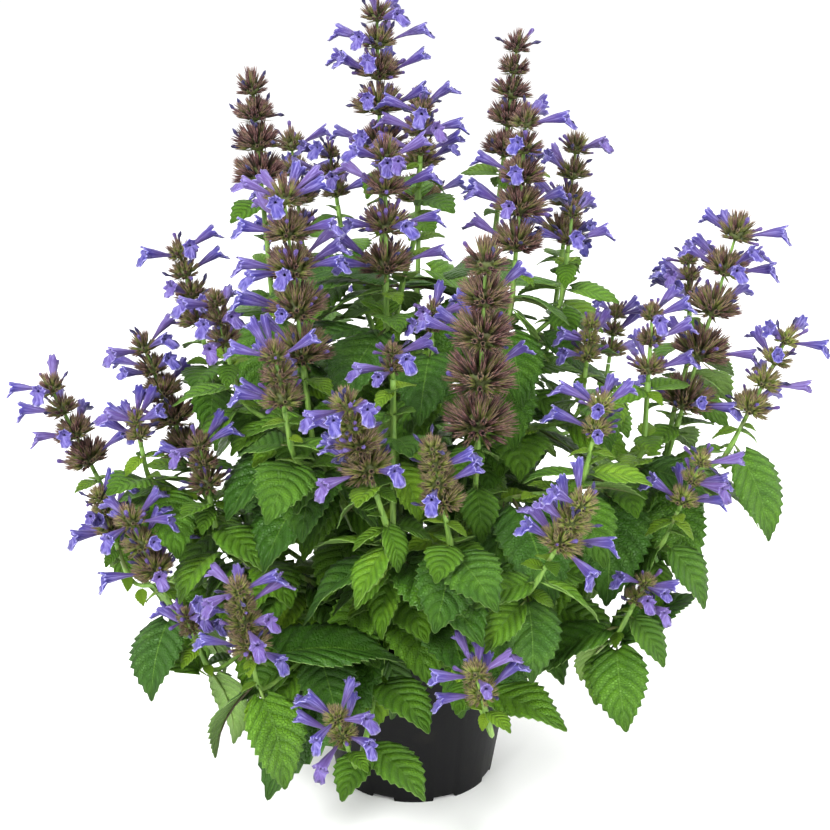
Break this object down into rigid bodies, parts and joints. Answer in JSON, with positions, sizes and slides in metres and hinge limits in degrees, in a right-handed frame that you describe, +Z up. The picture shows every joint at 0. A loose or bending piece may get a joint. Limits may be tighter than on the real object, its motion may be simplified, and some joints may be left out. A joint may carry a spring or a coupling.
{
  "type": "potted catmint",
  "caption": "Bushy flowering catmint with toothed leaves and whorled violet flower heads, growing in a tapered nursery pot.",
  "frame": {"origin": "centre of the pot's flat underside, where the pot stands", "axes": "+Z up along the pot's axis; -Y is the side shown to the front; +X to the right seen from the front"},
  "size_m": [0.5194, 0.4401, 0.5271],
  "materials": {
    "pot_plastic": "matte black moulded plastic",
    "soil": "rough dark compost",
    "stem_and_leaf": "soft, slightly glossy green leaf",
    "calyx_and_corolla": "soft petal, violet-blue, with brown-purple calyces"
  },
  "bodies": {
    "root": {"head_back": "calyx_and_corolla", "head_back_left": "calyx_and_corolla", "head_back_left_low": "calyx_and_corolla", "head_back_low": "calyx_and_corolla", "head_back_right": "calyx_and_corolla", "head_back_right_low": "calyx_and_corolla", "head_behind_left": "calyx_and_corolla", "head_centre": "calyx_and_corolla", "head_centre_low": "calyx_and_corolla", "head_centre_side": "calyx_and_corolla", "head_far_left": "calyx_and_corolla", "head_far_right": "calyx_and_corolla", "head_far_right_back": "calyx_and_corolla", "head_far_right_side": "calyx_and_corolla", "head_front": "calyx_and_corolla", "head_front_left": "calyx_and_corolla", "head_front_left_low": "calyx_and_corolla", "head_front_right": "calyx_and_corolla", "head_front_small": "calyx_and_corolla", "head_left_brown": "calyx_and_corolla", "head_left_cluster": "calyx_and_corolla", "head_left_drooping": "calyx_and_corolla", "head_left_far_low": "calyx_and_corolla", "head_left_inner": "calyx_and_corolla", "head_left_outer": "calyx_and_corolla", "head_left_outer_low": "calyx_and_corolla", "head_left_side": "calyx_and_corolla", "head_low_front_left": "calyx_and_corolla", "head_low_front_right": "calyx_and_corolla", "head_low_left": "calyx_and_corolla", "head_low_right": "calyx_and_corolla", "head_mid_front": "calyx_and_corolla", "head_mid_inner": "calyx_and_corolla", "head_mid_right": "calyx_and_corolla", "head_right": "calyx_and_corolla", "head_right_front": "calyx_and_corolla", "head_right_green": "calyx_and_corolla", "head_right_inner": "calyx_and_corolla", "head_right_side": "calyx_and_corolla", "head_tall_centre": "calyx_and_corolla", "head_tall_left": "calyx_and_corolla", "head_tall_right": "calyx_and_corolla", "pot": "pot_plastic", "soil": "soil", "stem_back": "stem_and_leaf", "stem_back_left": "stem_and_leaf", "stem_back_right": "stem_and_leaf", "stem_centre": "stem_and_leaf", "stem_far_left": "stem_and_leaf", "stem_far_right": "stem_and_leaf", "stem_front": "stem_and_leaf", "stem_front_left": "stem_and_leaf", "stem_front_low": "stem_and_leaf", "stem_left": "stem_and_leaf", "stem_left_low": "stem_and_leaf", "stem_right": "stem_and_leaf", "stem_right_low": "stem_and_leaf"}
  },
  "joints": []
}
